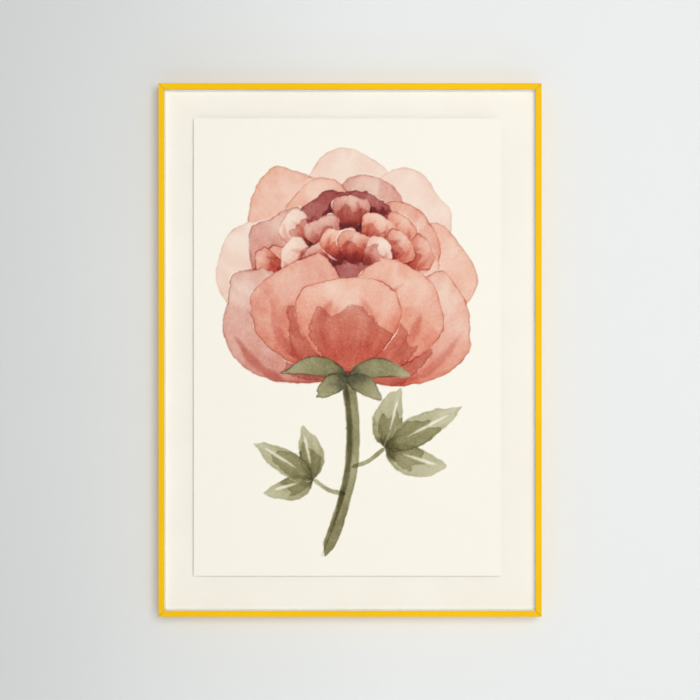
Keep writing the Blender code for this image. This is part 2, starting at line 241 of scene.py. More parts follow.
# %% Card, paper and plastic
def make_fibre_board(name, light, dark, tooth_scale, tooth_depth, roughness=0.85):
    """Felted fibre: a base colour with faint clouds, small flecks and a soft tooth."""
    material, tree, shader = new_finish(name)
    place = tree.node("ShaderNodeTexCoord", output="Object")
    clouds = noise(tree, place, 14.0, detail=4.0)
    tooth = noise(tree, place, tooth_scale, detail=4.0, roughness=0.65)
    shade = between(clouds * 0.5 + tooth * 0.5, 0.35, 0.65)
    set_shader(shader, Base_Color=mix_colours(shade, dark, light), Roughness=roughness,
               Normal=bump(tree, tooth, tooth_depth, 0.6))
    return material


cream_board = make_fibre_board("cream_board", linear(249, 243, 233), linear(246, 239, 228),
                               700.0, 0.00005)
foam_board = make_fibre_board("foam_board", linear(246, 246, 243), linear(240, 240, 236),
                              400.0, 0.00005)
white_plastic = make_fibre_board("white_plastic", linear(250, 250, 247), linear(246, 246, 242),
                                 300.0, 0.00002, roughness=0.5)


# %% Hardboard
def make_hardboard():
    """Pressed brown fibre: short fibres lie every way, and the mesh of the press shows faintly."""
    material, tree, shader = new_finish("hardboard")
    place = tree.node("ShaderNodeTexCoord", output="Object")
    fibres = []
    for turn in (0.3, 1.3, 2.4):
        laid = tree.node("ShaderNodeMapping", {},
                         {"Vector": place, "Rotation": (0, turn, 0), "Scale": (1.0, 1.0, 0.16)})
        fibres.append(noise(tree, laid, 900.0, detail=2.0, roughness=0.6, distortion=0.4))
    felt = (fibres[0] + fibres[1] + fibres[2]) / 3.0
    clouds = noise(tree, place, 22.0, detail=3.0)
    across = tree.node("ShaderNodeSeparateXYZ", {}, {"Vector": place}, output="X")
    up = tree.node("ShaderNodeSeparateXYZ", {}, {"Vector": place}, output="Z")
    mesh = (across * 2800.0).maths("SINE", across * 2800.0) * (up * 2800.0).maths(
        "SINE", up * 2800.0)
    shade = between(felt + 0.10 * (clouds - 0.5), 0.36, 0.64)
    fleck = between(noise(tree, place, 1400.0, detail=1.0), 0.66, 0.72)
    colour = mix_colours(shade, linear(124, 90, 60), linear(166, 128, 90))
    colour = mix_colours(0.6 * fleck, colour, linear(84, 58, 38))
    set_shader(shader, Base_Color=colour, Roughness=0.62 + 0.2 * felt,
               Normal=bump(tree, felt + 0.12 * mesh, 0.00008, 0.6))
    return material


hardboard = make_hardboard()


# %% Steel and rubber
def make_steel(name, light, dark, streak, roughness):
    """Rolled or plated steel: streaks along one axis in the gloss, a faint mottle in colour."""
    material, tree, shader = new_finish(name)
    place = tree.node("ShaderNodeTexCoord", output="Object")
    drawn = tree.node("ShaderNodeMapping", {}, {"Vector": place, "Scale": streak})
    grain = noise(tree, drawn, 600.0, detail=3.0)
    mottle = noise(tree, place, 90.0, detail=3.0)
    set_shader(shader, Base_Color=mix_colours(mottle, dark, light), Metallic=1.0,
               Roughness=roughness + 0.18 * grain, Normal=bump(tree, grain, 0.00001, 0.4))
    return material


spring_steel = make_steel("spring_steel", linear(204, 206, 210), linear(178, 181, 187),
                          (1.0, 1.0, 0.1), 0.34)
zinc_steel = make_steel("zinc_steel", linear(202, 205, 209), linear(176, 180, 186),
                        (1.0, 1.0, 1.0), 0.30)
black_rubber = make_fibre_board("black_rubber", linear(44, 44, 46), linear(30, 30, 32),
                                1500.0, 0.00002, roughness=0.7)

# %% [markdown]
# ## Glass
#
# The pane should let light through and only add a faint reflection. A full glass shader bends
# the rays and darkens what lies behind, and needs many samples. A pane this thin hardly bends
# light, so a Transparent shader is mixed with a glossy one instead. The share that reflects is
# Schlick's rule: a little straight on, nearly all at a grazing angle. Only light that enters is
# split. Light that leaves goes on, or the pane would trap it as a thick block does.

# %% Share of light that coated picture glass reflects straight on
GLASS_STRAIGHT = 0.012


# %% Clear picture glass
def make_clear_glass():
    material, tree, shader = new_finish("clear_glass")
    place = tree.node("ShaderNodeTexCoord", output="Object")
    waviness = noise(tree, place, 12.0, detail=1.0)
    set_shader(shader, Roughness=0.05, Normal=bump(tree, waviness, 0.00002, 0.3))
    shader.inputs["Base Color"].default_value = (0.02, 0.03, 0.025, 1.0)
    clear = tree.node("ShaderNodeBsdfTransparent", {}, {"Color": (0.995, 1.0, 0.997, 1.0)})
    grazing = tree.node("ShaderNodeLayerWeight", {}, {"Blend": 0.5}, output="Facing")
    leaving = tree.node("ShaderNodeNewGeometry", output="Backfacing")
    reflection = (GLASS_STRAIGHT + (1 - GLASS_STRAIGHT) * grazing ** 5) * (1 - leaving)
    mixed = tree.node("ShaderNodeMixShader", {},
                      {0: reflection, 1: clear, 2: Wire(tree.tree, shader.outputs[0])})
    tree.connect(material.node_tree.nodes["Material Output"].inputs["Surface"], mixed)
    return material


clear_glass = make_clear_glass()

# %% [markdown]
# ## How fine the painting is
#
# The painting is worked out on a grid of places about a millimetre apart, finer than the tooth
# of the paper shows. The sheet's mesh later uses the same places, so nothing is blurred between.

# %% Grid of the painting
COARSE_COLUMNS = 89
COARSE_ROWS = 132
FINE_STEPS = 4
LEAST_PAINT = 0.004
COLUMNS = COARSE_COLUMNS * FINE_STEPS + 1
ROWS = COARSE_ROWS * FINE_STEPS + 1
SHEET_WIDTH = sheet_size.x * 1000
SHEET_HEIGHT = sheet_size.z * 1000
print("places in the painting:", COLUMNS * ROWS)

# %% [markdown]
# ## How the watercolour is painted
#
# The print shows a peony in watercolour: clear washes laid over each other on cream paper. The
# flower is a stock one of this script's own. A picture file would be the quick way, but a wash
# follows simple rules, and painting by them keeps the picture here, where it can be reshaped.
#
# Pigment takes light away. A wash lets a share of the light through, and two washes on top of
# each other let through the product of their shares, so a painting is kept as the *sum* of what
# its washes absorb, for red, green and blue. The paper's colour times exp(-sum) is what the eye
# sees. All lengths below are millimetres from the middle of the sheet, x right and y up.

# %% Soft random values
def ease(value, low, high):
    """0 below low, 1 above high, with a smooth start and end."""
    t = np.clip((value - low) / (high - low), 0, 1)
    return t * t * (3 - 2 * t)


def soft_noise(u, v, seed, octaves=3):
    """Smooth random values from -1 to 1 at the places u, v, counted in lumps."""
    total = np.zeros(np.shape(u))
    size = 64
    for octave in range(octaves):
        table = np.random.default_rng(seed + 101 * octave).uniform(-1, 1, (size, size))
        across = u * 2.0 ** octave + 7.3 * octave
        up = v * 2.0 ** octave + 3.1 * octave
        i, j = np.floor(across).astype(int), np.floor(up).astype(int)
        s, t = ease(across - i, 0, 1), ease(up - j, 0, 1)
        i, j, next_i, next_j = i % size, j % size, (i + 1) % size, (j + 1) % size
        low = table[i, j] * (1 - s) + table[next_i, j] * s
        high = table[i, next_j] * (1 - s) + table[next_i, next_j] * s
        total += (low * (1 - t) + high * t) * 0.5 ** octave
    return total / (2 - 0.5 ** (octaves - 1))


# %% [markdown]
# ## Outlines
#
# A petal's outline is a handful of points that a smooth curve runs through. What the brush needs
# to know at each place is the distance to that curve, and whether the place lies inside: the
# fill, the dark rim and the soft fade at the edge are all functions of this one number.


# %% Curves and distances
CURVE_STEPS = 12


def smooth_line(points, closed=True):
    """A smooth curve through the points, as many short straight steps."""
    points = np.array(points, float)
    if closed:
        before, here = np.roll(points, 1, 0), points
        after, beyond = np.roll(points, -1, 0), np.roll(points, -2, 0)
    else:
        longer = np.vstack([2 * points[0] - points[1], points, 2 * points[-1] - points[-2]])
        before, here, after, beyond = longer[:-3], longer[1:-2], longer[2:-1], longer[3:]
    t = np.linspace(0, 1, CURVE_STEPS, endpoint=False)[None, :, None]
    before, here, after, beyond = (p[:, None, :] for p in (before, here, after, beyond))
    line = here + 0.5 * t * (after - before + t * (
        2 * before - 5 * here + 4 * after - beyond + t * (3 * (here - after) + beyond - before)))
    line = line.reshape(-1, 2)
    return line if closed else np.vstack([line, points[-1]])


def step_distance(X, Y, start, end):
    """The squared distance to one straight step, and where along the step it is nearest."""
    dx, dy = end - start
    t = np.clip(((X - start[0]) * dx + (Y - start[1]) * dy) / (dx * dx + dy * dy + 1e-12), 0, 1)
    return (X - start[0] - t * dx) ** 2 + (Y - start[1] - t * dy) ** 2, t


def depth_inside(X, Y, outline):
    """How far inside a closed outline each place lies; outside counts as less than nothing."""
    nearest = np.full(X.shape, np.inf)
    inside = np.zeros(X.shape, bool)
    for start, end in zip(outline, np.roll(outline, -1, 0)):
        nearest = np.minimum(nearest, step_distance(X, Y, start, end)[0])
        if start[1] != end[1]:
            crossing = (start[1] > Y) != (end[1] > Y)
            slope = (end[0] - start[0]) / (end[1] - start[1])
            inside ^= crossing & (X < start[0] + (Y - start[1]) * slope)
    return np.where(inside, 1, -1) * np.sqrt(nearest)


def line_distance(X, Y, line):
    """The distance to an open line, and how far along the line, from 0 to 1."""
    nearest = np.full(X.shape, np.inf)
    along = np.zeros(X.shape)
    for step, (start, end) in enumerate(zip(line[:-1], line[1:])):
        distance, t = step_distance(X, Y, start, end)
        closer = distance < nearest
        nearest = np.where(closer, distance, nearest)
        along = np.where(closer, (step + t) / (len(line) - 1), along)
    return np.sqrt(nearest), along


# %% [markdown]
# ## The brush
#
# Five things make a patch of colour read as watercolour, and `wash` has them all. The edge
# wobbles. Pigment drifts to the edge and dries there as a thin dark line, which is broken where
# the paper was damp. The load changes slowly over the patch, with faint streaks along the veins
# of the petal. A later patch may cover what lies under it, and leaves slivers of bare paper
# along its edge. `drop` lets colour run into wet paper, so it ends in a ragged cloud. `stroke`
# is one pull of the brush, and `lift` takes colour away to leave a light.


# %% The painting and its brushes
def strength_of(colour):
    """What a wash of one load absorbs, to give this colour on the paper."""
    return -np.log(np.clip(np.array(linear(*colour)) / np.array(PAPER), 0.004, 1.0))


RIM_WIDTH = 0.9
VEIN_STREAK = 0.15
DROP_LUMP = 14.0
STROKE_LUMP = 12.0
LIFT_LUMP = 10.0


class Painting:
    def __init__(self, width, height, columns, rows):
        self.x = np.linspace(-width / 2, width / 2, columns)
        self.y = np.linspace(-height / 2, height / 2, rows)
        self.X, self.Y = np.meshgrid(self.x, self.y)
        self.absorbed = np.zeros((rows, columns, 3))
        self.patches = 0

    def window(self, line, margin):
        """The part of the sheet round a line, so that a patch only costs its own size."""
        (left, low), (right, high) = line.min(0) - margin, line.max(0) + margin
        return (slice(*np.searchsorted(self.y, (low, high))),
                slice(*np.searchsorted(self.x, (left, right))))

    def next_seed(self):
        self.patches += 1
        return self.patches * 977

    def wobbled(self, depth, X, Y, seed, wobble, lump):
        slow = soft_noise(X / lump, Y / lump, seed, 4)
        return depth + wobble * (slow + 0.45 * soft_noise(X / 3.6, Y / 3.6, seed + 1, 2))

    def lay(self, place, body, line, colour):
        """Adds a body of colour and a drier, browner line of the same pigment."""
        strength = strength_of(colour)
        line_strength = 0.42 * strength + 0.42 * strength.mean()
        self.absorbed[place] += body[..., None] * strength + line[..., None] * line_strength

    def rim_line(self, depth, X, Y, seed, width):
        """The thin line where pigment dries at an edge, broken where the paper was damp."""
        kept = ease(soft_noise(X / 17, Y / 17, seed + 2, 3), -0.5, 0.4)
        width = width * (1 + 0.5 * soft_noise(X / 9, Y / 9, seed + 9, 3))
        return np.exp(-((depth - 0.35 * width) / width) ** 2) * (0.25 + 0.75 * kept)

    def wash(self, points, colour, load=1.0, rim=0.7, wobble=1.2, lump=16.0, soft=1.6,
             cloud=0.3, veins=None, flow=None, cover=0.0, gap=0.8, inside=None):
        seed = self.next_seed()
        outline = smooth_line(points)
        place = self.window(outline, 8.0)
        X, Y = self.X[place], self.Y[place]
        depth = self.wobbled(depth_inside(X, Y, outline), X, Y, seed, wobble, lump)
        if inside is not None:
            depth = np.minimum(depth, inside[place])
        if cover:
            halo = gap * (2.4 * soft_noise(X / 20, Y / 20, seed + 3, 3) - 0.25)
            self.absorbed[place] *= (1 - cover * ease(depth + halo, -0.8, 0.8))[..., None]
        body = load * (1 + cloud * soft_noise(X / 26, Y / 26, seed + 4, 4))
        body *= 1 + 0.10 * soft_noise(X / 4, Y / 4, seed + 5, 3)
        if flow:
            body *= self.flow_of(X, Y, seed, *flow)
        if veins:
            body *= self.streaks(X, Y, seed, veins)
        body *= 1 + 0.28 * rim * np.exp(-np.clip(depth, 0, None) / 3.5)
        painted = ease(depth, -0.55 * soft, 0.55 * soft)
        line = rim * self.rim_line(depth, X, Y, seed, RIM_WIDTH)
        self.lay(place, np.clip(body, 0, None) * painted, line * painted, colour)
        whole = np.full(self.X.shape, -1e3)
        whole[place] = depth
        return whole

    def flow_of(self, X, Y, seed, start, end, first, last):
        """The load changes from first to last on the way from start to end."""
        dx, dy = end[0] - start[0], end[1] - start[1]
        t = ((X - start[0]) * dx + (Y - start[1]) * dy) / (dx * dx + dy * dy)
        t += 0.12 * soft_noise(X / 30, Y / 30, seed + 6, 3)
        return first + (last - first) * ease(t, 0, 1)

    def streaks(self, X, Y, seed, veins):
        """Faint streaks that run out from the point where the veins meet."""
        angle = np.arctan2(X - veins[0], Y - veins[1])
        reach = np.hypot(X - veins[0], Y - veins[1])
        broad = soft_noise(angle * 22, reach / 55, seed + 7, 3)
        fine = soft_noise(angle * 75, reach / 40, seed + 8, 2)
        return 1 + VEIN_STREAK * (broad + 0.35 * fine)

    def drop(self, centre, radius, colour, load=1.0, ragged=0.5, inside=None,
             squeeze=(1.0, 1.0), soft=6.0):
        """Colour touched into wet paper: a cloud with a ragged, feathered edge."""
        seed = self.next_seed()
        reach_all = radius * 2.2 * max(squeeze)
        place = self.window(np.array([centre, centre], float), reach_all)
        X, Y = self.X[place], self.Y[place]
        reach = np.hypot((X - centre[0]) / squeeze[0], (Y - centre[1]) / squeeze[1])
        edge = radius * ragged * soft_noise(X / DROP_LUMP, Y / DROP_LUMP, seed, 5)
        wet = ease(radius - reach + edge, -soft, 1.4 * soft)
        if inside is not None:
            wet = wet * ease(inside[place], -0.6, 1.0)
        body = load * wet * (1 + 0.35 * soft_noise(X / 9, Y / 9, seed + 5, 4))
        self.lay(place, np.clip(body, 0, None), np.zeros(body.shape), colour)

    def stroke(self, points, width, colour, load=1.0, soft=1.2, taper=(0.3, 0.3), rim=0.0,
               cloud=0.5, wobble=1.0, inside=None):
        """One pull of a round brush, thinner at its ends."""
        seed = self.next_seed()
        line = smooth_line(points, closed=False)
        place = self.window(line, width + 8)
        X, Y = self.X[place], self.Y[place]
        distance, along = line_distance(X, Y, line)
        half = width / 2 * ease(along, -0.02, taper[0]) * ease(1 - along, -0.02, taper[1])
        depth = self.wobbled(half - distance, X, Y, seed, wobble, STROKE_LUMP)
        if inside is not None:
            depth = np.minimum(depth, inside[place])
        body = load * (1 + cloud * soft_noise(X / 20, Y / 20, seed + 4, 4))
        painted = ease(depth, -0.55 * soft, 0.55 * soft)
        edge = rim * load * self.rim_line(depth, X, Y, seed, 0.8)
        self.lay(place, np.clip(body, 0, None) * painted, edge * painted, colour)

    def lift(self, points, amount=0.8, wobble=0.8, soft=1.5, inside=None):
        """Takes this share of the colour away again, to leave a light."""
        seed = self.next_seed()
        outline = smooth_line(points)
        place = self.window(outline, 8.0)
        X, Y = self.X[place], self.Y[place]
        depth = self.wobbled(depth_inside(X, Y, outline), X, Y, seed, wobble, LIFT_LUMP)
        if inside is not None:
            depth = np.minimum(depth, inside[place])
        self.absorbed[place] *= (1 - amount * ease(depth, -soft, soft))[..., None]


# %% [markdown]
# ## The paints
#
# Each paint is named by the colour that one load of it gives on the paper. Petals are laid in
# salmon or coral and shaded with a dusty rose, because a second load of pure coral would turn
# orange. The darks are wine and maroon in the flower, indigo where it meets the stem.

# %% The palette
PAPER = linear(250, 243, 231)
PALE = (238, 194, 176)
SALMON = (230, 156, 132)
CORAL = (222, 140, 118)
DUSK = (212, 158, 146)
ROSE = (211, 140, 124)
WINE = (160, 72, 68)
MAROON = (140, 40, 40)
INDIGO = (84, 84, 112)
OLIVE = (146, 138, 98)
MOSS = (124, 116, 82)
SAGE = (190, 182, 148)

painting = Painting(SHEET_WIDTH, SHEET_HEIGHT, COLUMNS, ROWS)
wash, drop, stroke, lift = painting.wash, painting.drop, painting.stroke, painting.lift

# %% [markdown]
# ## One rule for every petal and leaf
#
# The flower's shapes are drawn by rule. A petal is an egg: narrow at its foot, broad at its lip,
# and ruffled there. A leaf is the same shape turned about, broad near the stalk and drawn out to
# a point. So one function gives both, from a foot, a tip and a width.

# %% The shape of a petal or a leaf
OUTLINE_POINTS = 18


def egg(foot, tip, width, taper=0.4, sharp=0.85, bend=0.0, ruffle=0.05):
    """A closed outline from foot to tip; a bend above nothing bows it to the right."""
    foot, tip = np.array(foot, float), np.array(tip, float)
    along = tip - foot
    across = np.array([along[1], -along[0]])
    turn = np.linspace(0, 2 * math.pi, OUTLINE_POINTS, endpoint=False)
    reach = -np.cos(turn)
    side = np.sign(np.sin(turn)) * np.abs(np.sin(turn)) ** sharp * (1 + taper * reach)
    waves = np.random.default_rng(painting.patches).uniform(-1, 1, OUTLINE_POINTS)
    far = (1 + reach) / 2 * (1 + ruffle * waves * (reach > 0.2))
    aside = side * width / 2 / np.hypot(*along) + bend * (1 - reach ** 2)
    return foot + np.outer(far, along) + np.outer(aside, across)


def on_the_way(foot, tip, share, aside=0.0):
    """A place part of the way from foot to tip, and this share of the length to the right."""
    dx, dy = tip[0] - foot[0], tip[1] - foot[1]
    return (foot[0] + share * dx + aside * dy, foot[1] + share * dy - aside * dx)


# %% [markdown]
# ## How one petal is painted
#
# Every petal goes the same way: one wash, pale at the lip and fuller at the foot; a second wash
# with a hard edge once the first is dry; two soft pulls of the brush along the veins; and a
# light lifted out near the lip. The numbers that differ from petal to petal are drawn at random.


# %% Paint one petal
def petal(foot, tip, width, paint, load=0.9, lip=0.6, deep=1.4, glaze=0.6, bend=0.0, dark=0.0):
    chance = np.random.default_rng(painting.patches + 5)
    whole = wash(egg(foot, tip, width, bend=bend), paint, load, rim=1.05, cover=1.0, gap=1.3,
                 lump=11, cloud=0.35, wobble=1.8, veins=on_the_way(foot, tip, -0.5),
                 flow=(tip, foot, lip, deep))
    half_way = on_the_way(foot, tip, chance.uniform(0.5, 0.68), chance.uniform(-0.08, 0.08))
    wash(egg(foot, half_way, chance.uniform(0.62, 0.86) * width, bend=bend, ruffle=0.2), DUSK,
         glaze, rim=0.8, wobble=3.8, lump=11, cloud=0.4, inside=whole)
    for side in (-0.3, 0.25):
        aside = side * width / math.dist(foot, tip)
        line = [on_the_way(foot, tip, share, aside * math.sin(math.pi * share) + 1.3 * bend)
                for share in (0.25, 0.5, chance.uniform(0.7, 0.85))]
        stroke(line, 0.10 * width, ROSE, chance.uniform(0.3, 0.7), soft=6, wobble=2.2,
               cloud=0.8, inside=whole)
    light = on_the_way(foot, tip, 0.70, chance.uniform(-0.14, 0.14))
    lift(egg(light, on_the_way(light, tip, 0.95), chance.uniform(0.2, 0.45) * width, ruffle=0.3),
         0.28, wobble=4, soft=6, inside=whole)
    if dark:
        drop(foot, 0.28 * width, WINE, dark, 0.6, inside=whole, squeeze=(1.4, 1.0), soft=5)
    return whole


# %% [markdown]
# ## The bloom
#
# A peony is a bowl of broad petals round a ruffled heart, and it is laid from the back forward:
# two fans of tall petals, the dark of the heart, small petals in rows over that dark, and last
# the broad petals that make the front of the bowl. Each fan is spread evenly round the middle.

# %% Where the bloom stands
BLOOM = (0.0, 104.0)
BLOOM_RADIUS = 155.0
BLOOM_FOOT = (0.0, -34.0)


def round_bloom(degrees, share):
    """A place at this angle from straight up, at this share of the bloom's radius."""
    angle = math.radians(degrees)
    return (BLOOM[0] + share * BLOOM_RADIUS * math.sin(angle),
            BLOOM[1] + share * BLOOM_RADIUS * math.cos(angle))


def fan(angles, share, foot, width, paints, **ways):
    """Petals to each side of the middle, each next one lapping over the last."""
    for number, degrees in enumerate(angles):
        petal(foot, round_bloom(degrees, share + 0.03 * (number % 2)), width,
              paints[number % len(paints)], bend=0.0012 * degrees, **ways)


# %% The back of the bowl
fan((0, -36, 38, -74, 76, -108, 110), 0.98, (0, 30), 122, (PALE, SALMON, PALE), load=1.0,
    glaze=0.5)
fan((14, -22, 50, -56, 84, -88), 0.78, (0, 40), 100, (ROSE, SALMON, CORAL), load=1.05,
    glaze=0.6)

# %% The ruffled heart
heart = wash(egg((0, 84), (0, 214), 132, taper=0.1), WINE, 0.9, rim=0.8, cover=1.0, wobble=3.0,
             lump=10, cloud=0.5)
drop((0, 156), 44, MAROON, 1.0, 0.7, inside=heart, squeeze=(1.2, 0.8))
heart_chance = np.random.default_rng(12)
HEART_PAINTS = (CORAL, PALE, ROSE, SALMON)
HEART_ROWS = ((84, 78, 5, 50), (56, 66, 4, 46), (26, 58, 4, 44))
for row, (rise, spread, count, length) in enumerate(HEART_ROWS):
    for number in range(count):
        degrees = (number / (count - 1) - 0.5) * 2 * spread + heart_chance.uniform(-9, 9)
        angle = math.radians(degrees)
        reach = rise + heart_chance.uniform(-6, 6)
        foot = (0.85 * reach * math.sin(angle), 96 + 0.72 * reach * math.cos(angle))
        tip = (foot[0] + length * math.sin(0.8 * angle), foot[1] + length * math.cos(0.8 * angle))
        petal(foot, tip, heart_chance.uniform(38, 50), HEART_PAINTS[(number + row) % 4],
              load=1.0, deep=1.9, glaze=0.6, bend=0.003 * degrees, dark=1.0)

# %% The front of the bowl
petal(BLOOM_FOOT, (-146, 92), 104, ROSE, bend=-0.16, glaze=0.8)
petal(BLOOM_FOOT, (148, 84), 104, CORAL, bend=0.16, glaze=0.7)
petal(BLOOM_FOOT, (-84, 112), 124, CORAL, load=1.0, bend=-0.08, glaze=0.6, deep=1.5)
petal(BLOOM_FOOT, (88, 106), 124, SALMON, load=1.05, bend=0.08, glaze=0.7, deep=1.6)
petal(BLOOM_FOOT, (2, 88), 132, SALMON, load=1.0, glaze=0.6, deep=1.7)
print("patches of colour laid on the bloom:", painting.patches)

# %% [markdown]
# ## Stem, sepals and leaves
#
# The stem is a single pull of a broad brush with a darker line down its shaded side. Peony
# leaves come in threes on one stalk, so a leaf is a loop over three angles, and there is one
# leaf on each side of the stem. A touch of indigo where flower and stem meet makes the shadow.


# %% Leaves in threes
def leaf(start, joint, heading, length):
    """A stalk from the stem to a joint, and three leaflets fanned round the heading."""
    middle = ((start[0] + joint[0]) / 2, (start[1] + joint[1]) / 2 - 5)
    stroke([start, middle, joint], 5, OLIVE, 0.8, soft=2, taper=(0.1, 0.1), rim=0.5)
    for turn, share in ((-48, 0.72), (46, 0.78), (0, 1.0)):
        angle = math.radians(heading + turn)
        tip = (joint[0] + share * length * math.sin(angle),
               joint[1] + share * length * math.cos(angle))
        shape = egg(joint, tip, 0.34 * length, taper=-0.3, sharp=1.35, bend=0.0015 * turn)
        leaflet = wash(shape, SAGE, 1.0, rim=0.7, wobble=1.8, lump=10, soft=2.2, cover=0.85,
                       gap=1.0, flow=(tip, joint, 0.8, 1.5), veins=on_the_way(joint, tip, -0.3))
        half_way = on_the_way(joint, tip, 0.62, 0.03)
        wash(egg(joint, half_way, 0.30 * length, sharp=1.2, ruffle=0.2), OLIVE, 0.4, rim=0.6,
             wobble=3, lump=9, inside=leaflet)
        drop(joint, 0.13 * length, MOSS, 0.6, 0.8, inside=leaflet, soft=7)
        vein = [on_the_way(joint, tip, part, 0.01) for part in (0.3, 0.55, 0.82)]
        lift(egg(vein[0], vein[2], 4, sharp=1.3), 0.8, soft=1.4, inside=leaflet)


# %% Stem and sepals
STEM_WIDTH = 17
SEPAL_WIDTH = 26
STEM = [(0, -40), (7, -100), (5, -160), (-10, -222), (-30, -278)]
leaf(STEM[2], (50, -134), 62, 112)
leaf((-2, -196), (-46, -176), -58, 92)
stroke(STEM, STEM_WIDTH, OLIVE, 1.0, soft=2.0, taper=(0.02, 0.08), rim=0.8, wobble=1.0)
stroke([(x - 4, y) for x, y in STEM], 6, MOSS, 0.8, soft=3, taper=(0.1, 0.4))
for tip, bend in (((-86, -34), 0.14), ((84, -38), -0.14), ((-40, -66), 0.06), ((44, -68), -0.06)):
    shape = egg(STEM[0], tip, SEPAL_WIDTH, taper=-0.2, sharp=1.2, bend=bend)
    sepal = wash(shape, OLIVE, 0.95, rim=0.9, lump=9, cover=1.0, gap=0.8,
                 flow=(tip, STEM[0], 0.7, 1.4))
    drop(STEM[0], 20, INDIGO, 0.28, 0.7, inside=sepal, soft=7)
print("patches of colour laid in all:", painting.patches)
# %% [markdown]
# ## The sheet of paper
#
# The sheet is heavy paper, cut square, and it carries the painting. The painting is stored on
# the paper's own points, as a colour attribute, so the paper needs points about a millimetre
# apart where there is paint and only a few where it is bare. A coarse grid is made first, its
# painted squares are subdivided, and the border is extruded back to the paper's thickness.


# %% Make the sheet
def painted_value(x, z):
    """What the painting absorbs at a place on the sheet, by the nearest kept value."""
    column = round((x - sheet_low.x) / sheet_size.x * (COLUMNS - 1))
    row = round((z - sheet_low.z) / sheet_size.z * (ROWS - 1))
    return painting.absorbed[row, column]


def cut_sheet(bm):
    """A grid that is fine where there is paint, closed to a thin sheet."""
    bmesh.ops.create_grid(bm, x_segments=COARSE_COLUMNS, y_segments=COARSE_ROWS, size=0.5)
    bmesh.ops.scale(bm, vec=(sheet_size.x, sheet_size.z, 1), verts=bm.verts)
    bmesh.ops.rotate(bm, cent=(0, 0, 0), matrix=Matrix.Rotation(math.radians(90), 3, "X"),
                     verts=bm.verts)
    front = Vector((sheet_centre.x, sheet_low.y, sheet_centre.z))
    bmesh.ops.translate(bm, vec=front, verts=bm.verts)
    amount = painting.absorbed.max(axis=2)
    painted_edges = set()
    for face in bm.faces:
        place = face.calc_center_median()
        column = int((place.x - sheet_low.x) / sheet_size.x * COARSE_COLUMNS) * FINE_STEPS
        row = int((place.z - sheet_low.z) / sheet_size.z * COARSE_ROWS) * FINE_STEPS
        square = amount[row:row + FINE_STEPS + 1, column:column + FINE_STEPS + 1]
        if square.max() > LEAST_PAINT:
            painted_edges.update(face.edges)
    bmesh.ops.subdivide_edges(bm, edges=list(painted_edges), cuts=FINE_STEPS - 1,
                              use_grid_fill=True)
    border = [edge for edge in bm.edges if edge.is_boundary]
    grown = bmesh.ops.extrude_edge_only(bm, edges=border)["geom"]
    back_points = [item for item in grown if isinstance(item, bmesh.types.BMVert)]
    bmesh.ops.translate(bm, vec=(0, sheet_size.y, 0), verts=back_points)
    bmesh.ops.holes_fill(bm, edges=[edge for edge in bm.edges if edge.is_boundary], sides=0)
    bmesh.ops.recalc_face_normals(bm, faces=bm.faces)


def add_piece(name, bm, material, replaced=()):
    """Makes an object of a bmesh, rides it on the frame and hides the CAD nodes it replaces."""
    mesh = bpy.data.meshes.new(name)
    bm.to_mesh(mesh)
    bm.free()
    mesh.materials.append(material)
    piece = bpy.data.objects.new(name, mesh)
    bpy.context.scene.collection.objects.link(piece)
    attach(piece, "root")
    if replaced:
        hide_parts(*replaced)
    return piece


def store_painting(mesh):
    """Writes what each point's paint lets through, for red, green and blue."""
    attribute = mesh.color_attributes.new("painted", "FLOAT_COLOR", "POINT")
    colours = np.ones((len(mesh.vertices), 4))
    for vertex in mesh.vertices:
        colours[vertex.index, :3] = np.exp(-painted_value(vertex.co.x, vertex.co.z))
    attribute.data.foreach_set("color", colours.astype(np.float32).ravel())


def lay_out_flat(mesh):
    """The map for baking: the front fills nearly all of it, the back and edges a thin strip."""
    layer = mesh.uv_layers.new(name="OFBake")
    for polygon in mesh.polygons:
        facing_front = polygon.normal.y < -0.5
        for loop_index in polygon.loop_indices:
            point = mesh.vertices[mesh.loops[loop_index].vertex_index].co
            u = (point.x - sheet_low.x) / sheet_size.x
            v = (point.z - sheet_low.z) / sheet_size.z
            if not facing_front:
                u = (u + (point.y - sheet_low.y) / sheet_size.y * 0.02) / 1.02
            v = 0.01 + 0.92 * v if facing_front else 0.95 + 0.04 * v
            layer.uv[loop_index].vector = (0.01 + 0.98 * u, v)


# %% Watercolour paper
def make_painted_paper():
    """Cotton paper with its tooth, and the painting's pigment settled in the hollows."""
    material, tree, shader = new_finish("painted_paper")
    place = tree.node("ShaderNodeTexCoord", output="Object")
    let_through = tree.node("ShaderNodeVertexColor", {"layer_name": "painted"})
    tooth = noise(tree, place, 620.0, detail=3.0, roughness=0.6)
    settling = noise(tree, place, 260.0, detail=4.0, roughness=0.7)
    clouds = noise(tree, place, 12.0, detail=3.0)
    grains = 1.0 + 0.55 * (settling - 0.5) + 0.75 * (tooth - 0.5)
    pigment = tree.node("ShaderNodeGamma", {}, {"Color": let_through, "Gamma": grains})
    paper = mix_colours(clouds, PAPER, linear(251, 245, 234))
    set_shader(shader, Base_Color=mix_colours(1.0, paper, pigment, "MULTIPLY"),
               Roughness=0.85, Normal=bump(tree, tooth, 0.00005, 0.5))
    return material


bm = bmesh.new()
cut_sheet(bm)
painted_sheet = add_piece("painted_sheet", bm, make_painted_paper(),
                          ["print_sheet"])
store_painting(painted_sheet.data)
lay_out_flat(painted_sheet.data)
painted_sheet.data.shade_flat()
painted_sheet.data.calc_loop_triangles()
print("triangles in the sheet:", len(painted_sheet.data.loop_triangles))

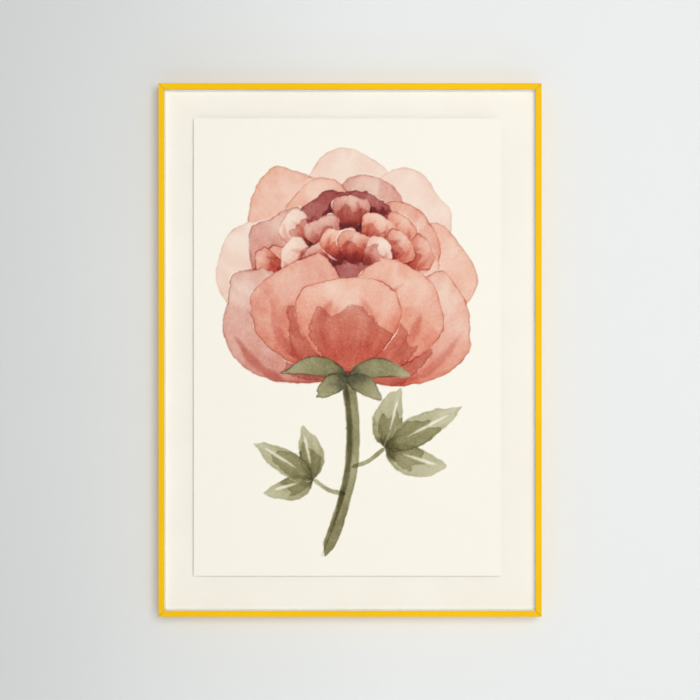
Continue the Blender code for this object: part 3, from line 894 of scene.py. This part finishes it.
# %% [markdown]
# ## Edges that catch the light
#
# The CAD model gives each board, rail and bracket its true shape, but with knife-sharp edges.
# A sawn rail, a stamped bracket and a cut board all have edges that are broken by a fraction of
# a millimetre, and that thin bright line is how the eye tells metal from card. So each piece is
# taken over as a copy: its doubled points are merged, flat areas become single faces, and the
# sharp edges get a small round bevel. The copy stands for the CAD piece, which stays hidden.

# %% Copy a CAD piece with broken edges
MERGE_DISTANCE = 0.000002
FLAT_ANGLE = math.radians(1.0)
SHARP_ANGLE = math.radians(38.0)


def broken_edges(bm, radius, segments):
    """Merges doubled points, joins flat areas, and rounds every sharp edge by the radius."""
    bmesh.ops.remove_doubles(bm, verts=bm.verts, dist=MERGE_DISTANCE)
    bmesh.ops.dissolve_limit(bm, angle_limit=FLAT_ANGLE, use_dissolve_boundaries=False,
                             verts=bm.verts, edges=bm.edges)
    sharp = [edge for edge in bm.edges
             if edge.is_manifold and edge.calc_face_angle() > SHARP_ANGLE]
    bmesh.ops.bevel(bm, geom=sharp, offset=radius, offset_type="OFFSET", segments=segments,
                    profile=0.5, affect="EDGES", clamp_overlap=True, material=-1)


def finished_copy(node, finish, radius, segments=2):
    """The piece that stands for a CAD node, with broken edges and even shading."""
    bm = bmesh.new()
    bm.from_mesh(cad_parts[node].data)
    broken_edges(bm, radius, segments)
    piece = add_piece(node + "_finished", bm, finish, [node])
    piece.data.shade_smooth()
    piece.data.set_sharp_from_angle(angle=SHARP_ANGLE)
    even = piece.modifiers.new("even_shading", "WEIGHTED_NORMAL")
    even.keep_sharp = True
    return piece


def finish_all(start, finish, radius, segments=2):
    """Finishes every CAD node whose name starts this way, and says how many."""
    nodes = [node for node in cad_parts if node.startswith(start)]
    for node in nodes:
        finished_copy(node, finish, radius, segments)
    print(start, "finished:", len(nodes))


# %% [markdown]
# ## Rails, boards and fittings
#
# The radius follows how the piece is made. Coated extrusion and moulded plastic are soft, so
# their edges are rounder than those of stamped steel, and a sawn board has hardly any radius.

# %% Finish the pieces
finish_all("rail_", yellow_coating, 0.00025, 3)
finish_all("spacer_", white_plastic, 0.0003)
finish_all("riser_board", foam_board, 0.0003)
finish_all("mount_board", cream_board, 0.0002)
finish_all("hardboard_back", hardboard, 0.0004)
finish_all("spring_", spring_steel, 0.0001)
finish_all("plain_angle_", zinc_steel, 0.0002)
finish_all("threaded_angle_", zinc_steel, 0.0003)
finish_all("hanger_left", zinc_steel, 0.0002)
finish_all("hanger_right", zinc_steel, 0.0002)
finish_all("corner_screw_", spring_steel, 0.00015)
finish_all("hanger_screw_", spring_steel, 0.00015)
finish_all("bumper_", black_rubber, 0.0007, 4)

# %% [markdown]
# ## The pane stays as it is
#
# A pane of glass is flat and its cut edges are hidden in the rails, so the CAD piece is already
# right. It only takes its finish.

# %% Give the pane its glass
for material_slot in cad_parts["glazing"].material_slots:
    material_slot.material = clear_glass

# %% [markdown]
# ## The stage
#
# The wall carries the soft shadow that makes the picture look hung. It is a matt wall whose colour
# holds painted shade, a little darker to the left where the room is further from the window. It
# has one face only: seen from behind it is clear, so that the back of the frame shows in a view
# from the rear. A plain floor lies far below, with a faint painted shade the same way.


# %% Wall and floor
def make_matt_paint_with_painted_shade(name, dark, light, shade_from, shade_to):
    """Rolled matt paint with a fine roller texture, and painted shade from dark to light along x.
    """
    material, tree, shader = new_finish(name)
    place = tree.node("ShaderNodeTexCoord", output="Object")
    across = tree.node("ShaderNodeSeparateXYZ", {}, {"Vector": place}, output="X")
    roller = noise(tree, place, 420.0, detail=3.0)
    clouds = noise(tree, place, 1.6, detail=2.0)
    # Painted shade: the colour runs from dark to light along x, a little broken by slow clouds.
    shade = between(across + 0.3 * (clouds - 0.5), shade_from, shade_to)
    shade = shade + 0.12 * (roller - 0.5)
    set_shader(shader, Base_Color=mix_colours(shade, dark, light), Roughness=0.9,
               Normal=bump(tree, roller, 0.0001, 0.25))
    return material, tree, shader


def clear_from_behind(material, tree, shader):
    """Lets a view from behind pass through a one-sided backdrop."""
    behind = tree.node("ShaderNodeNewGeometry", output="Backfacing")
    clear = tree.node("ShaderNodeBsdfTransparent")
    mixed = tree.node("ShaderNodeMixShader", {},
                      {0: behind, 1: Wire(tree.tree, shader.outputs[0]), 2: clear})
    tree.connect(material.node_tree.nodes["Material Output"].inputs["Surface"], mixed)


def add_stage_plane(name, size, place, turn, material):
    """A flat square of the stage, made at the origin and turned and moved into place."""
    bm = bmesh.new()
    bmesh.ops.create_grid(bm, x_segments=1, y_segments=1, size=size / 2)
    bmesh.ops.rotate(bm, cent=(0, 0, 0), matrix=Matrix.Rotation(turn, 3, "X"), verts=bm.verts)
    bmesh.ops.translate(bm, vec=place, verts=bm.verts)
    mesh = bpy.data.meshes.new(name)
    bm.to_mesh(mesh)
    bm.free()
    mesh.materials.append(material)
    plane = bpy.data.objects.new(name, mesh)
    bpy.context.scene.collection.objects.link(plane)
    return plane


STAGE_SIZE = 12.0
FLOOR_DROP = 1.5
WALL_GAP = 0.0002

floor_height = picture_centre.z - FLOOR_DROP
# The wall's colour carries painted shade, darker to the left; the floor's a faint one the same
# way.
wall_paint_and_painted_shade, tree, shader = make_matt_paint_with_painted_shade("wall_paint_and_painted_shade", linear(208, 210, 209),
                                           linear(231, 233, 233), -0.60, 0.10)
clear_from_behind(wall_paint_and_painted_shade, tree, shader)
floor_paint, _, _ = make_matt_paint_with_painted_shade("floor_paint", linear(216, 216, 213), linear(224, 224, 221),
                                    -2.0, 2.0)
wall = add_stage_plane("wall", STAGE_SIZE, (0, WALL_GAP, floor_height + STAGE_SIZE / 2),
                       math.radians(90), wall_paint_and_painted_shade)
wall.visible_shadow = False
floor = add_stage_plane("floor", STAGE_SIZE, (0, 0, floor_height), 0, floor_paint)
print("floor at %.2f m" % floor_height)

# %% [markdown]
# ## Light and camera
#
# One big soft lamp stands before the picture, above and to the right, so the shadows fall to the
# lower left and stay short. A pale even world fills in the rest. A second lamp stands straight
# behind the frame, where it lights only the back. The camera looks straight on through a long
# lens.


# %% Lamps and world
def add_lamp(name, place, size, power):
    """A square soft lamp aimed at the middle of the picture."""
    data = bpy.data.lights.new(name, "AREA")
    data.size = size
    data.energy = power
    lamp = bpy.data.objects.new(name, data)
    lamp.location = place
    lamp.rotation_euler = (picture_centre - lamp.location).to_track_quat("-Z", "Y").to_euler()
    bpy.context.scene.collection.objects.link(lamp)
    return lamp


WORLD_STRENGTH = 0.40
KEY_POWER = 82.0
KEY_SIZE = 1.9
KEY_PLACE = (0.62, -3.5, picture_centre.z + 0.45)
REAR_POWER = 50.0
REAR_SIZE = 0.4
REAR_PLACE = (0, 3.0, picture_centre.z)
add_lamp("window_lamp", KEY_PLACE, KEY_SIZE, KEY_POWER)
add_lamp("rear_lamp", REAR_PLACE, REAR_SIZE, REAR_POWER)

world = bpy.data.worlds.new("studio")
world.use_nodes = True
world.node_tree.nodes["Background"].inputs["Color"].default_value = (0.98, 0.99, 1.0, 1.0)
world.node_tree.nodes["Background"].inputs["Strength"].default_value = WORLD_STRENGTH
bpy.context.scene.world = world
bpy.context.scene.view_settings.view_transform = "Standard"

# %% Camera
LENS = 85.0
SENSOR = 36.0
CAMERA_DISTANCE = 2.1986

camera_data = bpy.data.cameras.new("camera")
camera_data.lens = LENS
camera_data.sensor_width = SENSOR
camera = bpy.data.objects.new("camera", camera_data)
camera.location = (picture_centre.x, picture_low.y - CAMERA_DISTANCE, picture_centre.z)
camera.rotation_euler = (math.radians(90), 0, 0)
bpy.context.scene.collection.objects.link(camera)
bpy.context.scene.camera = camera
